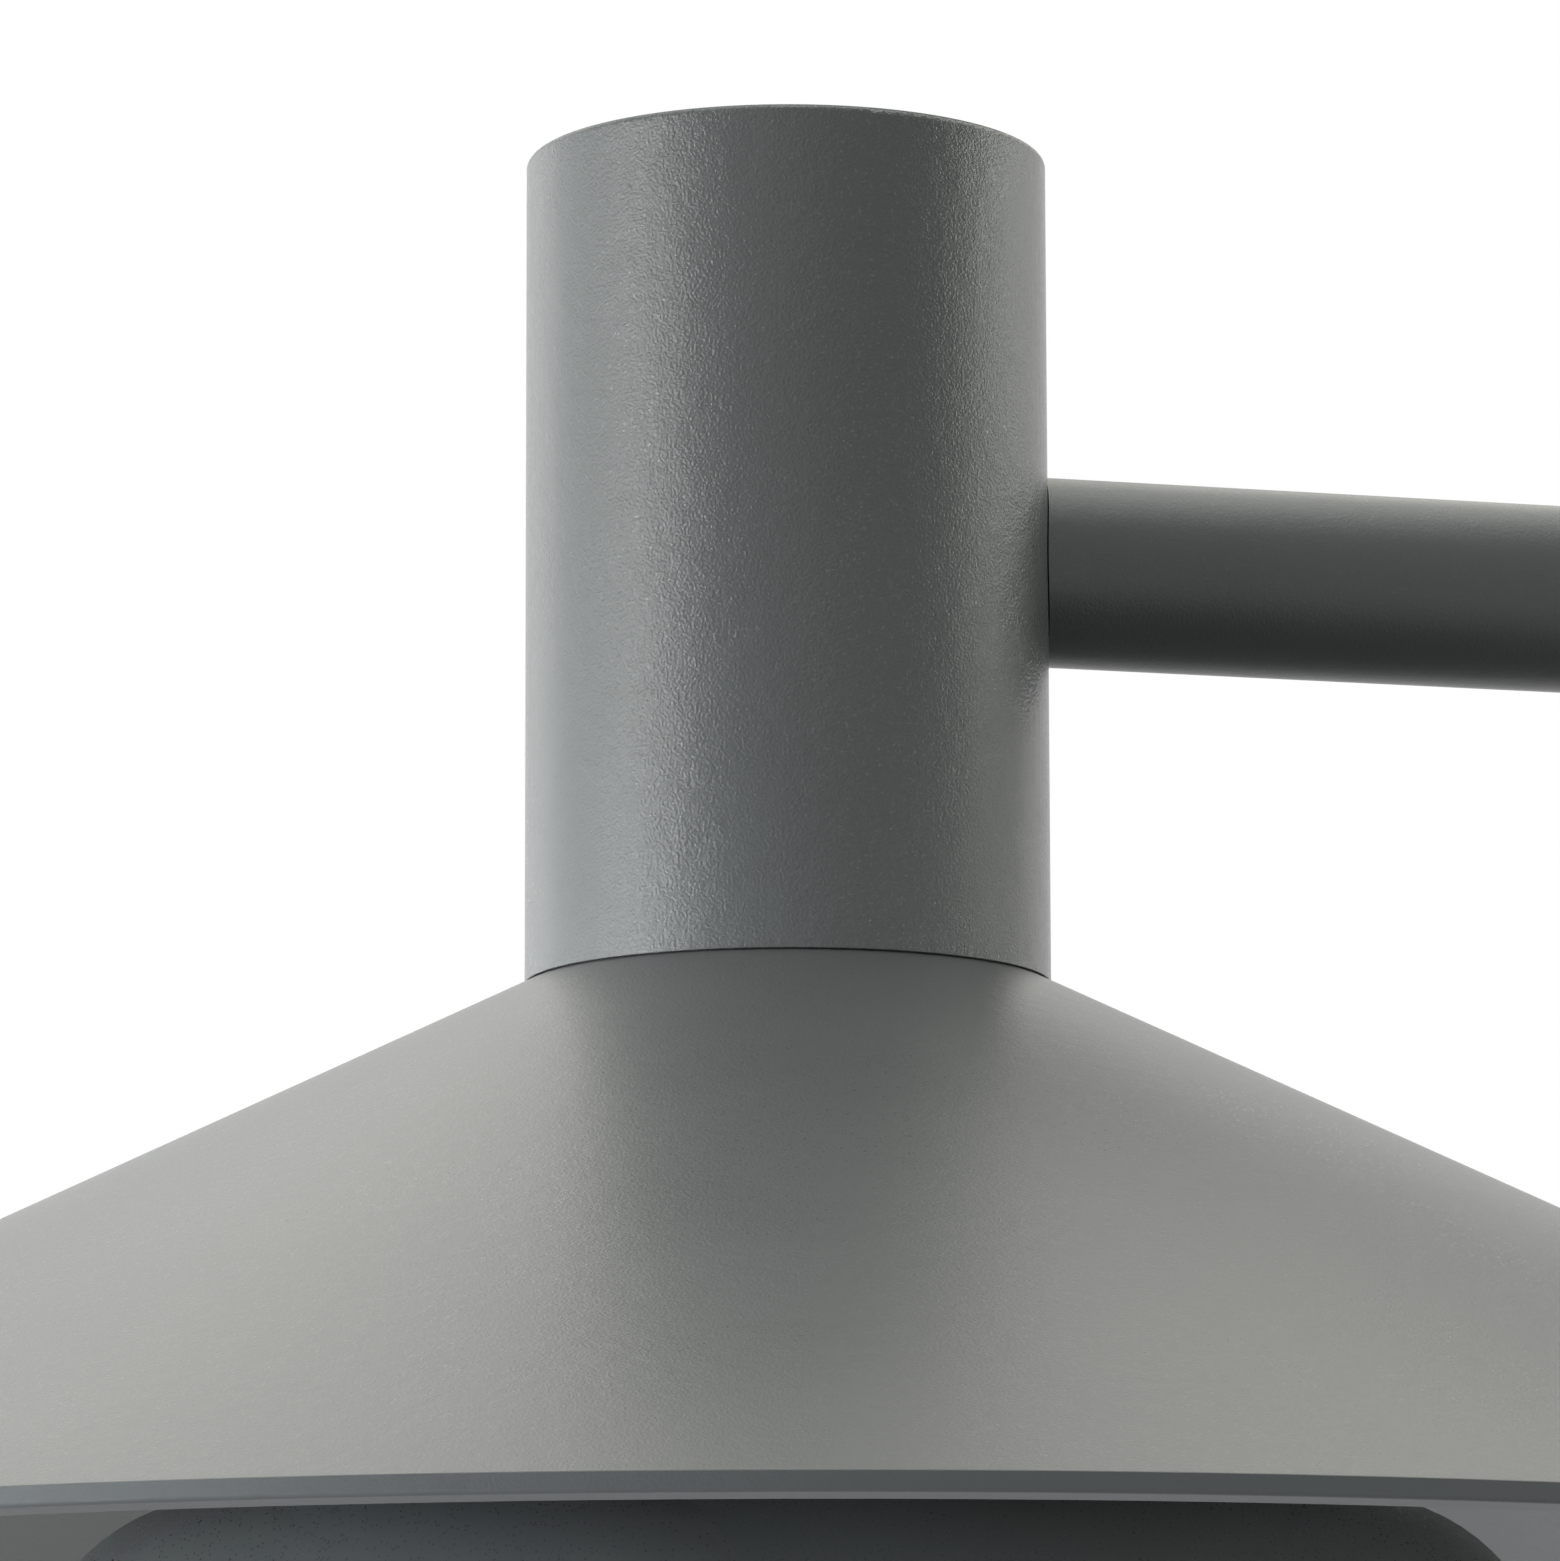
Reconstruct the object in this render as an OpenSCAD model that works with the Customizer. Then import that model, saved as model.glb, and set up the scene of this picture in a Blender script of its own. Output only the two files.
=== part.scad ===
// LED post light: a slim round post carries a cylindrical can on a horizontal arm,
// and a wide spun shade with a round light unit hangs under the can.
// The origin is at the centre of the base plate's underside, and the head points to -X.

/* [Overall] */
// Height of the post and of the can's flat top above the ground
overall_h = 1000; // [900:10:1100]
// Distance from the post's axis to the head's axis
reach = 260; // [250:1:300]

/* [Can] */
// Outer diameter of the can
can_d = 60; // [58:0.5:64]
// Height of the can
can_h = 95.9; // [92:0.1:104]
// Wall of the can above the plug
can_wall = 4; // [3.5:0.1:4.5]
// Thickness of the can's closed top
can_top_t = 4; // [3:0.5:6]
// Radius on the top edges of the can and of the post cap
edge_r = 0.8; // [0.4:0.1:1.2]
// Radius on the lower edge of the can
foot_edge_r = 0.1; // [0.1:0.1:0.5]
// Depth of the step that stops the plug
plug_step = 1; // [0.6:0.1:1.5]
// Thickness of the screwed plug in the can's mouth
plug_t = 9; // [8:0.5:12]
// Thickness of the gasket between the can and the shade
seam_t = 0.1; // [0.1:0.1:0.6]
// Distance of the gasket's edge behind the can's wall
seam_inset = 0.5; // [0.4:0.1:2]

/* [Shade] */
// Diameter of the shade at its rim
shade_d = 350; // [330:1:370]
// Height of the shade's cone
cone_h = 70; // [66:0.5:76]
// Sheet thickness of the shade
shade_t = 1.4; // [1.2:0.1:1.8]
// Step of the shade's flat top inside the can's wall
shade_inset = 0.3; // [0.2:0.1:1.5]
// Height of the upright edge at the rim
rim_h = 2; // [1.9:0.1:3]
// Width of the hem that is turned in under the rim
hem_w = 8; // [6:0.5:12]
// Radius on the lower corner of the rim
rim_edge_r = 0.5; // [0.3:0.1:0.8]

/* [Neck] */
// Diameter of the hollow stem
stem_d = 26; // [24:0.5:28]
// Bore of the stem
stem_bore_d = 16; // [14:0.5:17]
// Diameter of the upper flange
neck_top_d = 52; // [50:0.5:53]
// Diameter of the lower flange
neck_foot_d = 60; // [56:0.5:62]
// Thickness of both flanges
flange_t = 4; // [3:0.5:6]
// Radius where the stem meets its flanges
stem_fillet = 3; // [2:0.5:3]
// Bolt circle of the upper flange
neck_top_pcd = 41; // [40:0.5:42]
// Bolt circle of the lower flange
neck_foot_pcd = 46; // [44:0.5:47]
// Number of screws in each flange
neck_screw_n = 3; // [3:1:4]
// Thickness of the gasket under the lower flange
neck_gasket_t = 1; // [0.6:0.1:1.5]

/* [Light unit] */
// Outer diameter of the housing
housing_d = 170; // [166:0.5:176]
// Height of the housing's flat top above the shade's rim
housing_rise = 10.5; // [8:0.5:14]
// Radius of the rounded shoulder
shoulder_r = 20; // [18:0.5:22]
// Straight height of the wall below the shoulder
skirt_h = 8; // [7:0.5:12]
// Wall of the housing
housing_wall = 2.5; // [2:0.1:3.5]
// Thickness of the top round the board's pad
housing_top_t = 3.5; // [3:0.1:4.5]
// Thickness of the pad that the board lies on
pad_t = 6; // [5.5:0.1:8]
// Distance of the pad's edge inside the housing's wall line
pad_inset = 23; // [22:0.5:26]
// Diameter of the boss under the neck
boss_d = 64; // [63:1:68]
// Height of the boss
boss_h = 4; // [3:0.5:6]
// Depth of the flange in the housing's mouth
mouth_t = 6; // [6:0.5:7]
// Width of that flange
mouth_w = 18; // [17:0.5:18.5]
// Number of cooling ribs
rib_n = 24; // [16:1:28]
// Thickness of a rib
rib_t = 2.2; // [1.6:0.1:2.5]
// Height of a rib above the top
rib_h = 6; // [4:0.5:8]
// Distance of the ribs' outer ends inside the edge of the flat top
rib_inset = 5; // [2:0.5:10]
// Slope of a rib's outer end, measured along the rib
rib_slope = 9; // [5:1:12]

/* [Lamp inside] */
// Distance of the lamp board's edge inside its pad
board_inset = 4; // [2:0.5:5]
// Thickness of the lamp board
board_t = 1.6; // [1:0.1:2]
// Hole in the middle of the board
board_hole_d = 10; // [8:0.5:11]
// Distance of the board's screws from its edge
board_screw_inset = 15; // [14.5:0.1:15.5]
// Number of board screws
board_screw_n = 4; // [3:1:4]
// Side of an emitter
chip_w = 3.5; // [3:0.1:4]
// Height of an emitter's body
chip_h = 0.8; // [0.5:0.1:1]
// Diameter of an emitter's lens
chip_lens_d = 2.6; // [2:0.1:2.8]
// Height of an emitter's lens
chip_lens_h = 0.4; // [0.2:0.1:0.6]
// Distance of the outermost ring of emitters from the board's edge
chip_inset = 8; // [7.5:0.1:8.5]
// Distance between the rings
chip_ring_step = 14; // [13.5:0.1:14.5]
// Number of rings
chip_ring_n = 3; // [2:1:3]
// Emitters in the innermost ring
chip_first_n = 8; // [6:1:9]
// Emitters added from ring to ring
chip_added_n = 4; // [2:1:6]
// Length and width of the connector under the board
connector_w = [16, 12];
// Height of the connector
connector_h = 6; // [4:0.5:7]
// Wall of the reflector
reflector_t = 1.2; // [1:0.1:1.5]
// Width of the reflector's lip on the board
reflector_lip = 3; // [2:0.2:3.2]
// Overlap of the diffuser on the bezel's lip
diffuser_lap = 6; // [5:0.5:7]
// Thickness of the diffuser
diffuser_t = 3; // [2.5:0.1:4]
// Thickness of the seal on the diffuser
seal_t = 1; // [0.8:0.1:1.5]
// Width of the seal
seal_w = 2.6; // [2:0.1:2.8]

/* [Bezel] */
// Width of the bezel's ring
bezel_w = 21; // [20:0.5:22]
// Thickness of the lip that carries the diffuser
bezel_lip_t = 1.5; // [1.2:0.1:2]
// Radius on the bezel's lower outer edge
bezel_edge_r = 1.2; // [0.8:0.1:1.4]
// Distance of the bezel's screws from its outer wall
bezel_screw_inset = 7.5; // [7:0.1:8]
// Number of bezel screws
bezel_screw_n = 6; // [4:1:8]

/* [Arm] */
// Outer diameter of the arm
arm_d = 22; // [21:0.5:24]
// Wall of the arm
arm_wall = 2; // [1.5:0.1:2.2]
// Height of the arm's axis above the shade's flat top
arm_rise = 49.5; // [46:0.5:54]
// Gap between the arm's shaped ends and the round walls they meet
joint_gap = 0.15; // [0.1:0.05:0.3]
// Length of the bush pressed into each end
bush_l = 18; // [15:1:24]
// Distance of the bush behind the arm's end
bush_inset = 1; // [0.5:0.5:2]
// Outer diameter of the threaded nipple
nipple_d = 12; // [11:0.5:13]
// Bore of the nipple
nipple_bore_d = 7; // [6:0.5:7.5]
// Depth of the nipple in its bush
nipple_grip = 14; // [12:1:15]
// Distance of the nipple's inner end from the axis that the cable bends round to
nipple_clear = 14; // [13.5:0.5:15]
// Width and height of the saddle behind the wall
saddle_w = 18; // [16:0.5:20]
// Distance of the saddle's flat face from the axis
saddle_face = 20; // [19.5:0.1:21]
// Width of the lock nut across its flats
nut_af = 17; // [16:0.5:18]
// Thickness of the lock nut
nut_t = 5; // [4:0.5:5]

/* [Cable] */
// Diameter of the lamp cable
cable_d = 5; // [4.5:0.1:5.4]
// Bend radius of the lamp cable's axis
cable_bend = 13; // [12:0.5:13]
// Diameter of the flange on the cable grommet
grommet_flange_d = 20; // [19:0.5:22]

/* [Post] */
// Outer diameter of the post
post_d = 60; // [58:0.5:64]
// Wall of the post
post_wall = 3; // [2.5:0.1:3.5]
// Thickness of the cap's flange
cap_t = 4; // [3:0.5:6]
// Depth of the cap's spigot
cap_spigot_h = 14; // [12:0.5:18]
// Wall of the cap's spigot
cap_spigot_wall = 5; // [4:0.5:6]
// Thickness of the seal under the cap
cap_seal_t = 0.6; // [0.4:0.1:1]
// Distance of that seal behind the post's wall
cap_seal_inset = 1; // [0.8:0.1:1.5]
// Distance of the grub screws below the post's upper end
cap_screw_drop = 7; // [6:0.5:8]
// Number of grub screws
cap_screw_n = 3; // [2:1:3]

/* [Door] */
// Height of the door's centre above the ground
door_z = 200; // [180:5:260]
// Width of the doorway in the post
door_w = 38; // [36:0.5:40]
// Height of the doorway
door_h = 160; // [150:1:180]
// Corner radius of the doorway
door_r = 8; // [6:0.5:10]
// Gap round the door
door_gap = 0.5; // [0.3:0.1:0.8]
// Thickness of the door
door_t = 2; // [1.8:0.1:2.2]
// Thickness of the frame behind the doorway
frame_t = 2.5; // [2:0.1:3]
// Overlap of the frame behind the post's wall
frame_lap = 6; // [4:0.5:6]
// Width of the frame's ledge inside the doorway
frame_ledge = 6; // [5:0.5:7]
// Height of the ledge at the top and bottom, where the door's screws go
frame_end = 16; // [15:0.5:20]
// Width of the door's seal
door_seal_w = 4; // [3:0.5:4.5]
// Distance of the door's screws from the ends of the doorway
door_screw_inset = 9; // [9:0.5:10]

/* [Gear] */
// Width of the gear plate
gear_w = 34; // [32:0.5:36]
// Thickness of the gear plate
gear_t = 2; // [1.5:0.1:3]
// Distance of the gear plate's front face behind the post's axis
gear_back = 9; // [8:0.5:10]
// Reach of the gear plate below and above the door's centre
gear_down = 76; // [74:0.5:78]
gear_up = 116; // [110:0.5:120]
// Side of the lugs that carry the gear plate
lug_w = 14; // [12:0.5:16]
// Places of the lugs below the door's centre
lug_low = 66; // [64:0.5:68]
lug_high = 4; // [2:0.5:6]
// Width, depth and height of the driver's case
driver_size = [28, 20, 80];
// Height of the driver's foot above the door's centre
driver_low = 18; // [16:0.5:20]
// Length of the driver's fixing tabs
tab_l = 9; // [8:0.5:10]
// Thickness of the driver's fixing tabs
tab_t = 2.5; // [2:0.1:3]
// Width, depth and height of the terminal block
terminal_size = [30, 17, 22];
// Height of the terminal block's foot below the door's centre
terminal_low = 46; // [44:0.5:48]
// Number of poles in the terminal block
pole_n = 5; // [3:1:5]
// Diameter of the wire holes in the terminal block
wire_hole_d = 3.4; // [3:0.1:4]
// Diameter of the leads between terminal block and driver
lead_d = 2.6; // [2:0.1:2.8]
// Place of the earth stud beside and below the door's centre
earth_side = 9.5; // [9:0.5:10]
earth_low = 57; // [56:0.5:58]
// Length of the earth stud
earth_l = 15; // [13:0.5:18]

/* [Base] */
// Diameter of the base plate
base_d = 280; // [260:1:320]
// Thickness of the base plate
base_t = 12; // [10:0.5:15]
// Chamfer on the base plate's upper edge
base_chamfer = 1.5; // [1:0.1:3]
// Bolt circle of the anchor holes
anchor_pcd = 220; // [200:1:230]
// Diameter of the anchor holes
anchor_d = 14; // [12:0.5:18]
// Number of anchor holes
anchor_n = 4; // [3:1:6]
// Diameter of the plate's cable hole
entry_d = 40; // [36:0.5:44]
// Clear bore of the entry grommet
entry_bore_d = 24; // [18:0.5:28]
// Width of the grommet's flange beyond the hole
entry_flange_w = 4; // [3:0.5:5]
// Thickness of the grommet's flange
entry_flange_t = 3; // [2:0.5:4]
// Distance of the grommet's lower end above the ground
entry_lift = 2; // [1:0.5:4]
// Size of the weld round the post's foot
weld_w = 6; // [4:0.5:8]

/* [Screws] */
// Small screws: thread, head diameter and head height
screw_d = 4; // [3.5:0.1:4]
screw_head_d = 7; // [6.4:0.1:7]
screw_head_h = 2.6; // [2:0.1:2.8]
// Board and driver screws: thread, head diameter and head height
fine_d = 3; // [2.5:0.1:3]
fine_head_d = 5.5; // [5:0.1:5.6]
fine_head_h = 2; // [1.6:0.1:2.2]
// Door screws and earth stud: thread, head diameter and head height
door_screw_d = 5; // [4.5:0.1:5.2]
door_head_d = 9; // [8.5:0.1:9.4]
door_head_h = 2.8; // [2.2:0.1:3.2]
// Depth of the spot face that a door screw's head sits in
spot_face = 1; // [0.8:0.1:1.2]
// Thickness of a plain washer
washer_t = 1; // [0.8:0.1:1.6]

/* [Fits] */
// Radial clearance of threads and pins in their holes
thread_fit = 0.05; // [0.03:0.01:0.08]
// Radial clearance of sliding parts
slide_fit = 0.15; // [0.1:0.05:0.2]
// Radial clearance of screws in through holes
through_fit = 0.25; // [0.2:0.05:0.4]

/* [Hidden] */
$fn = 96;

graphite = [0.39, 0.4, 0.395];
dark_graphite = [0.34, 0.35, 0.355];
steel = [0.72, 0.73, 0.74];
zinc = [0.62, 0.64, 0.66];
cast_grey = [0.55, 0.56, 0.57];
rubber_black = [0.09, 0.09, 0.1];
opal = [0.93, 0.93, 0.9];
white = [0.92, 0.93, 0.93];
board_white = [0.88, 0.9, 0.88];
emitter_yellow = [0.95, 0.84, 0.4];
case_grey = [0.8, 0.81, 0.8];
brass_gold = [0.78, 0.63, 0.32];
lead_blue = [0.15, 0.28, 0.6];

cut = 1;

can_r = can_d / 2;
can_in_r = can_r - can_wall;
mouth_r = can_in_r + plug_step;
can_z = overall_h - can_h;
seam_z = can_z - seam_t;
rim_z = seam_z - cone_h;
shade_r = shade_d / 2;
shade_top_r = can_r - shade_inset;
cone_angle = atan(cone_h / (shade_r - shade_top_r));
arm_z = seam_z + arm_rise;

neck_top_z = seam_z - shade_t;
housing_top_z = rim_z + housing_rise;
boss_z = housing_top_z + boss_h;
neck_foot_z = boss_z + neck_gasket_t;
stem_low_z = neck_foot_z + flange_t;
stem_high_z = neck_top_z - flange_t;
spigot_h = plug_t - 1;

housing_r = housing_d / 2;
flat_top_r = housing_r - shoulder_r;
rib_end_r = flat_top_r - rib_inset;
mouth_d = housing_d - 2 * mouth_w;
pad_d = housing_d - 2 * pad_inset;
board_d = pad_d - 2 * board_inset;
board_pcd = board_d - 2 * board_screw_inset;
chip_outer_r = board_d / 2 - chip_inset;
bezel_open_d = housing_d - 2 * bezel_w;
diffuser_d = bezel_open_d + 2 * diffuser_lap;
bezel_pcd = housing_d - 2 * bezel_screw_inset;
shoulder_z = housing_top_z - shoulder_r;
mouth_z = shoulder_z - skirt_h;
pad_z = housing_top_z - pad_t;
board_z = pad_z - board_t;
bezel_t = bezel_lip_t + diffuser_t + seal_t;
bezel_z = mouth_z - bezel_t;
diffuser_top_z = mouth_z - seal_t;
tap_depth = 5.5;
reflector_foot_r = mouth_d / 2 - 2 * slide_fit - reflector_t;

arm_r = arm_d / 2;
arm_in_r = arm_r - arm_wall;
nipple_r = nipple_d / 2;
post_r = post_d / 2;
post_in_r = post_r - post_wall;
post_top_z = overall_h - cap_t - cap_seal_t;
cap_screw_l = post_wall + 3;

door_in_r = post_r - door_t;
frame_in_r = post_in_r - frame_t;
driver_foot_z = door_z + driver_low;
driver_top_z = driver_foot_z + driver_size[2];
terminal_z = door_z - terminal_low;
gear_front = -gear_back;
earth_r = door_screw_d / 2;
lug_places = [door_z - lug_low, door_z - lug_high];

// What belongs to the head is drawn about the head's own axis
module at_head() {
    translate([-reach, 0, 0]) children();
}

// Local +X faces the door
module facing_door() {
    rotate([0, 0, -90]) children();
}

module ring(d_out, d_in, h) {
    difference() {
        cylinder(d = d_out, h = h);
        translate([0, 0, -cut]) cylinder(d = d_in, h = h + 2 * cut);
    }
}

module round_rect(w, h, r) {
    square([w - 2 * r, h], center = true);
    square([w, h - 2 * r], center = true);
    for (x = [-1, 1], y = [-1, 1]) translate([x * (w / 2 - r), y * (h / 2 - r)]) circle(r);
}

module around(n, pcd, turn = 0) {
    for (i = [0 : n - 1]) rotate([0, 0, turn + i * 360 / n]) translate([pcd / 2, 0, 0]) children();
}

// A screw along Z, with its head's underside at z = 0, its thread upward and a hexagon socket
module screw(d, head_d, head_h, l) {
    socket = d * 0.6;
    difference() {
        union() {
            cylinder(d = d, h = l);
            translate([0, 0, -head_h]) cylinder(d = head_d, h = head_h);
        }
        translate([0, 0, -head_h - cut]) cylinder(d = socket, h = cut + head_h * 0.6, $fn = 6);
    }
}

module small_screw(l) {
    screw(screw_d, screw_head_d, screw_head_h, l);
}

module fine_screw(l) {
    screw(fine_d, fine_head_d, fine_head_h, l);
}

// Half section of a disc from the axis to radius r, with its upper outer edge rounded
module round_top_section(r, h, e) {
    square([r, h - e]);
    square([r - e, h]);
    translate([r - e, h - e]) circle(e);
}

// The can is a closed drum with a stepped mouth for its plug and a hole for the arm's nipple
module head_can() {
    color(graphite) at_head() difference() {
        translate([0, 0, can_z]) rotate_extrude() difference() {
            union() {
                translate([0, foot_edge_r]) round_top_section(can_r, can_h - foot_edge_r, edge_r);
                square([can_r - foot_edge_r, can_h / 2]);
                translate([can_r - foot_edge_r, foot_edge_r]) circle(foot_edge_r);
            }
            translate([-cut, -cut]) square([cut + mouth_r, cut + plug_t]);
            translate([-cut, -cut]) square([cut + can_in_r, cut + can_h - can_top_t]);
        }
        translate([0, 0, arm_z]) rotate([0, 90, 0]) cylinder(r = nipple_r + slide_fit, h = can_r + cut);
    }
}

module can_plug() {
    color(cast_grey) at_head() translate([0, 0, can_z]) difference() {
        ring(2 * (mouth_r - thread_fit), stem_d + 2 * slide_fit, plug_t);
        around(neck_screw_n, neck_top_pcd) translate([0, 0, -cut])
            cylinder(r = screw_d / 2 + thread_fit, h = plug_t + 2 * cut);
    }
}

module seam_gasket() {
    color(rubber_black) at_head() translate([0, 0, seam_z]) difference() {
        ring(can_d - 2 * seam_inset, stem_d + 2 * slide_fit, seam_t);
        around(neck_screw_n, neck_top_pcd) translate([0, 0, -cut])
            cylinder(r = screw_d / 2 + through_fit, h = seam_t + 2 * cut);
    }
}

// The shade's section: a flat top, the cone's sheet, an upright edge and a hem turned in
module shade_section() {
    drop = shade_t / cos(cone_angle);
    inner_top_r = shade_top_r - shade_t * tan(cone_angle / 2);
    hem_z = shade_t - rim_h;
    inner_low_r = shade_r - (drop + hem_z) / tan(cone_angle);
    polygon([
        [stem_d / 2 + slide_fit, cone_h - shade_t],
        [inner_top_r, cone_h - shade_t],
        [inner_low_r, hem_z],
        [shade_r - hem_w, hem_z],
        [shade_r - hem_w, -rim_h],
        [shade_r - rim_edge_r, -rim_h],
        [shade_r - rim_edge_r, rim_edge_r - rim_h],
        [shade_r, rim_edge_r - rim_h],
        [shade_r, 0],
        [shade_top_r, cone_h],
        [stem_d / 2 + slide_fit, cone_h]
    ]);
    translate([shade_r - rim_edge_r, rim_edge_r - rim_h]) circle(rim_edge_r);
}

module shade() {
    color(graphite) at_head() difference() {
        translate([0, 0, rim_z]) rotate_extrude() shade_section();
        around(neck_screw_n, neck_top_pcd) translate([0, 0, seam_z - shade_t - cut])
            cylinder(r = screw_d / 2 + through_fit, h = shade_t + 2 * cut);
    }
}

// The quarter of material between the stem and a flange, in the stem's half section
module stem_fillet_section(z, up) {
    translate([stem_d / 2, z]) difference() {
        translate([-cut, up > 0 ? 0 : -stem_fillet]) square([cut + stem_fillet, stem_fillet]);
        translate([stem_fillet, up * stem_fillet]) circle(stem_fillet);
    }
}

module neck() {
    stem_r = stem_d / 2;
    color(cast_grey) at_head() difference() {
        rotate_extrude() difference() {
            union() {
                translate([0, neck_foot_z]) square([stem_r, neck_top_z + shade_t + seam_t + spigot_h - neck_foot_z]);
                translate([0, neck_foot_z]) square([neck_foot_d / 2, flange_t]);
                translate([0, stem_high_z]) square([neck_top_d / 2, flange_t]);
                stem_fillet_section(stem_low_z, 1);
                stem_fillet_section(stem_high_z, -1);
            }
            translate([-cut, neck_foot_z - cut]) square([cut + stem_bore_d / 2, cone_h + plug_t + 2 * cut]);
        }
        around(neck_screw_n, neck_top_pcd) translate([0, 0, stem_high_z - cut])
            cylinder(r = screw_d / 2 + through_fit, h = flange_t + 2 * cut);
        around(neck_screw_n, neck_foot_pcd) translate([0, 0, neck_foot_z - cut])
            cylinder(r = screw_d / 2 + through_fit, h = flange_t + 2 * cut);
    }
}

module neck_screws() {
    l = flange_t + shade_t + seam_t + plug_t - 1;
    color(steel) at_head() around(neck_screw_n, neck_top_pcd) translate([0, 0, stem_high_z]) small_screw(l);
}

module neck_gasket() {
    color(rubber_black) at_head() translate([0, 0, boss_z]) difference() {
        ring(neck_foot_d, grommet_flange_d + 2 * slide_fit, neck_gasket_t);
        around(neck_screw_n, neck_foot_pcd) translate([0, 0, -cut])
            cylinder(r = screw_d / 2 + through_fit, h = neck_gasket_t + 2 * cut);
    }
}

module housing_screws() {
    l = flange_t + neck_gasket_t + tap_depth - 0.5;
    color(steel) at_head() around(neck_screw_n, neck_foot_pcd) translate([0, 0, stem_low_z])
        mirror([0, 0, 1]) small_screw(l);
}

// Outer half section of the housing, grown or shrunk inward by a wall thickness
module housing_outline(inset, top_inset) {
    r = shoulder_r - inset;
    side = housing_r - inset;
    difference() {
        union() {
            translate([0, mouth_z]) square([side, shoulder_z - mouth_z]);
            translate([0, mouth_z]) square([side - r, housing_top_z - mouth_z]);
            translate([side - r, shoulder_z]) circle(r);
        }
        translate([-cut, housing_top_z - top_inset]) square([housing_r + 2 * cut, housing_top_z]);
        translate([-cut, mouth_z - housing_r]) square([housing_r + 2 * cut, housing_r]);
    }
}

module rib_section() {
    foot = housing_top_z - housing_top_t / 2;
    start = boss_d / 2 - cut;
    polygon([
        [start, foot], [rib_end_r, foot], [rib_end_r, housing_top_z],
        [rib_end_r - rib_slope, housing_top_z + rib_h], [start, housing_top_z + rib_h]
    ]);
}

// A cast bowl with a rounded shoulder, a flange in its mouth, and ribs round a boss on its back
module led_housing() {
    color(dark_graphite) at_head() difference() {
        union() {
            rotate_extrude() difference() {
                union() {
                    housing_outline(0, 0);
                    translate([0, housing_top_z - cut]) square([boss_d / 2, boss_h + cut]);
                }
                difference() {
                    housing_outline(housing_wall, housing_top_t);
                    translate([0, pad_z]) square([pad_d / 2, pad_t]);
                    translate([mouth_d / 2, mouth_z]) square([housing_r, mouth_t]);
                }
                translate([-cut, mouth_z - cut]) square([cut + mouth_d / 2, mouth_t + cut]);
            }
            for (i = [0 : rib_n - 1]) rotate([90, 0, i * 360 / rib_n])
                translate([0, 0, -rib_t / 2]) linear_extrude(rib_t) rib_section();
        }
        translate([0, 0, pad_z - cut]) cylinder(d = stem_bore_d, h = pad_t + boss_h + 2 * cut);
        around(neck_screw_n, neck_foot_pcd) translate([0, 0, boss_z - tap_depth])
            cylinder(r = screw_d / 2 + thread_fit, h = tap_depth + cut);
        around(bezel_screw_n, bezel_pcd) translate([0, 0, mouth_z - cut])
            cylinder(r = screw_d / 2 + thread_fit, h = mouth_t - 1 + cut);
        around(board_screw_n, board_pcd, 45) translate([0, 0, pad_z - cut])
            cylinder(r = fine_d / 2 + thread_fit, h = pad_t - 2 + cut);
    }
}

module cable_grommet() {
    color(rubber_black) at_head() difference() {
        union() {
            translate([0, 0, pad_z]) cylinder(r = stem_bore_d / 2 - thread_fit, h = pad_t + boss_h);
            translate([0, 0, boss_z]) cylinder(d = grommet_flange_d, h = neck_gasket_t);
        }
        translate([0, 0, pad_z - cut])
            cylinder(r = cable_d / 2 + thread_fit, h = pad_t + boss_h + neck_gasket_t + 2 * cut);
    }
}

module led_board() {
    color(board_white) at_head() translate([0, 0, board_z]) difference() {
        ring(board_d, board_hole_d, board_t);
        around(board_screw_n, board_pcd, 45) translate([0, 0, -cut])
            cylinder(r = fine_d / 2 + through_fit, h = board_t + 2 * cut);
    }
}

module board_screws() {
    color(steel) at_head() around(board_screw_n, board_pcd, 45) translate([0, 0, board_z])
        fine_screw(board_t + pad_t - 2.5);
}

function chip_ring_r(ring_i) = chip_outer_r - (chip_ring_n - 1 - ring_i) * chip_ring_step;

module led_chips() {
    color(emitter_yellow) at_head() for (ring_i = [0 : chip_ring_n - 1])
        around(chip_first_n + ring_i * chip_added_n, 2 * chip_ring_r(ring_i)) {
            translate([-chip_w / 2, -chip_w / 2, board_z - chip_h]) cube([chip_w, chip_w, chip_h]);
            translate([0, 0, board_z - chip_h - chip_lens_h]) cylinder(d = chip_lens_d, h = chip_lens_h + chip_h / 2);
        }
}

module board_connector() {
    color(white) at_head() translate([0, 0, board_z - connector_h])
        translate([-connector_w[0] / 2, -connector_w[1] / 2, 0]) cube([connector_w[0], connector_w[1], connector_h]);
}

module reflector() {
    top_r = board_d / 2 - reflector_lip;
    color(white) at_head() rotate_extrude() polygon([
        [top_r - reflector_t, board_z],
        [board_d / 2, board_z],
        [board_d / 2, board_z - reflector_t],
        [top_r + reflector_t, board_z - reflector_t],
        [reflector_foot_r + reflector_t, diffuser_top_z],
        [reflector_foot_r, diffuser_top_z],
        [top_r - reflector_t, board_z - reflector_t]
    ]);
}

module diffuser() {
    color(opal) at_head() {
        translate([0, 0, mouth_z - seal_t - diffuser_t]) cylinder(d = diffuser_d, h = diffuser_t);
        translate([0, 0, bezel_z]) cylinder(d = bezel_open_d - 4 * slide_fit, h = bezel_lip_t + diffuser_t);
    }
}

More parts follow.
